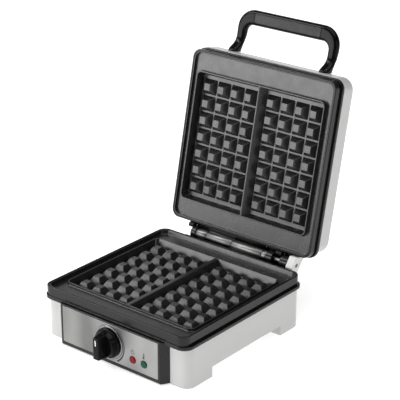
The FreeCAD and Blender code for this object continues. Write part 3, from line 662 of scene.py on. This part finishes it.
def build_handle():
    """The loop with a pocket cut in the underside of its bar, and the grip insert in the pocket."""
    loop = handle_loop()
    pocket = grip_block(0.8, FACE_Z - 2, FACE_Z + 1.6, 0)
    carve(loop, finish_piece("cutter", pocket, "lid", MATS["black_satin"]))
    insert = grip_block(0.0, FACE_Z - 0.1, FACE_Z + 1.5, 0.6)
    finish_piece("handle_insert", insert, "lid", MATS["grey_grip"], ("handle_grip_insert",))


build_handle()


# ---- control panel marks ---------------------------------------------------------
PANEL_Y = -128.1
KNOB_Z = 32.8
LAMP_X = (40.5, 59.6)
LAMP_Z = 21.0
# where the scale round the dial begins
SCALE_R = (25.4, 25.4)


def annulus(cx, cz, start, end, inner, outer, steps):
    """Strip of a ring as quads, clockwise from the top in degrees; inner and outer are (start, end) radii."""
    rows = []
    for k in range(steps + 1):
        t = k / steps
        a = math.radians(start + (end - start) * t)
        radii = [r[0] + (r[1] - r[0]) * t for r in (inner, outer)]
        rows.append([(cx + r * math.sin(a), cz + r * math.cos(a)) for r in radii])
    return [(a[0], a[1], b[1], b[0]) for a, b in zip(rows, rows[1:])]


def bar_mark(x, z, width, height):
    """Upright rectangle with its centre at x, z, as a list of one quad."""
    x0, x1 = x - width / 2, x + width / 2
    z0, z1 = z - height / 2, z + height / 2
    return [((x0, z0), (x1, z0), (x1, z1), (x0, z1))]


def build_marks():
    """A crescent and three dashes round the dial, a ring round each lamp and a sign above it."""
    quads = annulus(0, KNOB_Z, 38, 150, SCALE_R, (25.9, 28.2), 40)
    for degrees in (160, 170, 180):
        quads += annulus(0, KNOB_Z, degrees - 0.8, degrees + 0.8, SCALE_R, (27.2, 27.2), 2)
    for x in LAMP_X:
        quads += annulus(x, LAMP_Z, 0, 360, (5.05, 5.05), (5.6, 5.6), 36)
    quads += annulus(40.4, 31.9, 25, 335, (2.2, 2.2), (3.0, 3.0), 28)
    quads += bar_mark(40.4, 34.4, 0.8, 3.4)
    quads += annulus(59.2, 29.9, 0, 360, (0.0, 0.0), (1.7, 1.7), 24)
    quads += bar_mark(59.2, 33.9, 1.3, 5.6)
    for z in (32.6, 34.4, 36.2):
        quads += bar_mark(61.1, z, 1.5, 0.5)
    bm = bmesh.new()
    for quad in quads:
        bm.faces.new([bm.verts.new((x, PANEL_Y - 0.03, z)) for x, z in quad])
    bmesh.ops.remove_doubles(bm, verts=bm.verts, dist=0.001)
    made = bmesh.ops.extrude_face_region(bm, geom=bm.faces[:])
    moved = [v for v in made["geom"] if isinstance(v, bmesh.types.BMVert)]
    bmesh.ops.translate(bm, vec=(0, 0.06, 0), verts=moved)
    finish_piece("panel_marks", bm, "base", MATS["panel_print"], smooth=False)


build_marks()


# ---- camera, floor and light, in metres --------------------------------------------
def aim(obj, target):
    """Turns a lamp towards a point."""
    obj.rotation_euler = (Vector(target) - obj.location).to_track_quat("-Z", "Y").to_euler()


def add_camera(scene):
    camera = bpy.data.objects.new("camera", bpy.data.cameras.new("camera"))
    scene.collection.objects.link(camera)
    azimuth = math.radians(39.59)
    elevation = math.radians(22.73)
    camera.location = (1.1852, -1.3773, 0.9513)
    back = Vector((math.sin(azimuth) * math.cos(elevation), -math.cos(azimuth) * math.cos(elevation),
                   math.sin(elevation)))
    camera.rotation_euler = back.to_track_quat("Z", "Y").to_euler()
    camera.data.lens = 135.3
    camera.data.sensor_width = 36.0
    camera.data.clip_end = 50
    scene.camera = camera


def add_floor(scene):
    """Wide pale floor, just under the feet, that glows a little and so stays white."""
    side = 30
    corners = ((-side, -side), (side, -side), (side, side), (-side, side))
    bm = bmesh.new()
    bm.faces.new([bm.verts.new((x, y, 0)) for x, y in corners])
    mesh = bpy.data.meshes.new("floor")
    bm.to_mesh(mesh)
    bm.free()
    floor = bpy.data.objects.new("floor", mesh)
    floor.location.z = -0.0002
    scene.collection.objects.link(floor)
    n = Nodes("floor", (0.93, 0.93, 0.93), roughness=0.9)
    n.tint(n.noise(3), (0.925, 0.925, 0.925), (0.935, 0.935, 0.935))
    n.set(n.bsdf, "Emission Color", (1, 1, 1, 1))
    n.set(n.bsdf, "Emission Strength", 0.55)
    mesh.materials.append(n.mat)


def add_lights(scene):
    """An even pale world, a broad sun overhead and four softboxes."""
    world = bpy.data.worlds.new("studio")
    scene.world = world
    world.use_nodes = True
    sky = world.node_tree.nodes["Background"]
    sky.inputs["Color"].default_value = (1, 1, 1, 1)
    sky.inputs["Strength"].default_value = 0.1

    overhead = bpy.data.lights.new("overhead", "SUN")
    overhead.energy = 1.5
    overhead.angle = math.radians(60)
    lamp = bpy.data.objects.new("overhead", overhead)
    lamp.location = (0.2, -0.05, 1.6)
    aim(lamp, (0, 0, 0))
    scene.collection.objects.link(lamp)

    for name, place, width, height, power in (
            ("softbox_front_left", (-1.45, -1.9, 0.62), 1.5, 1.15, 27),
            ("softbox_left_high", (-1.05, -0.35, 1.35), 0.5, 0.9, 11),
            ("softbox_back_left", (-1.5, 1.8, 1.0), 1.7, 1.5, 4),
            ("softbox_right", (2.6, -0.1, 1.1), 1.2, 1.2, 8)):
        light = bpy.data.lights.new(name, "AREA")
        light.shape = "RECTANGLE"
        light.size = width
        light.size_y = height
        light.energy = power
        lamp = bpy.data.objects.new(name, light)
        lamp.location = place
        aim(lamp, (0, 0.03, 0.15))
        scene.collection.objects.link(lamp)


def build_stage():
    scene = bpy.context.scene
    add_camera(scene)
    add_floor(scene)
    add_lights(scene)
    scene.view_settings.view_transform = "Standard"


build_stage()
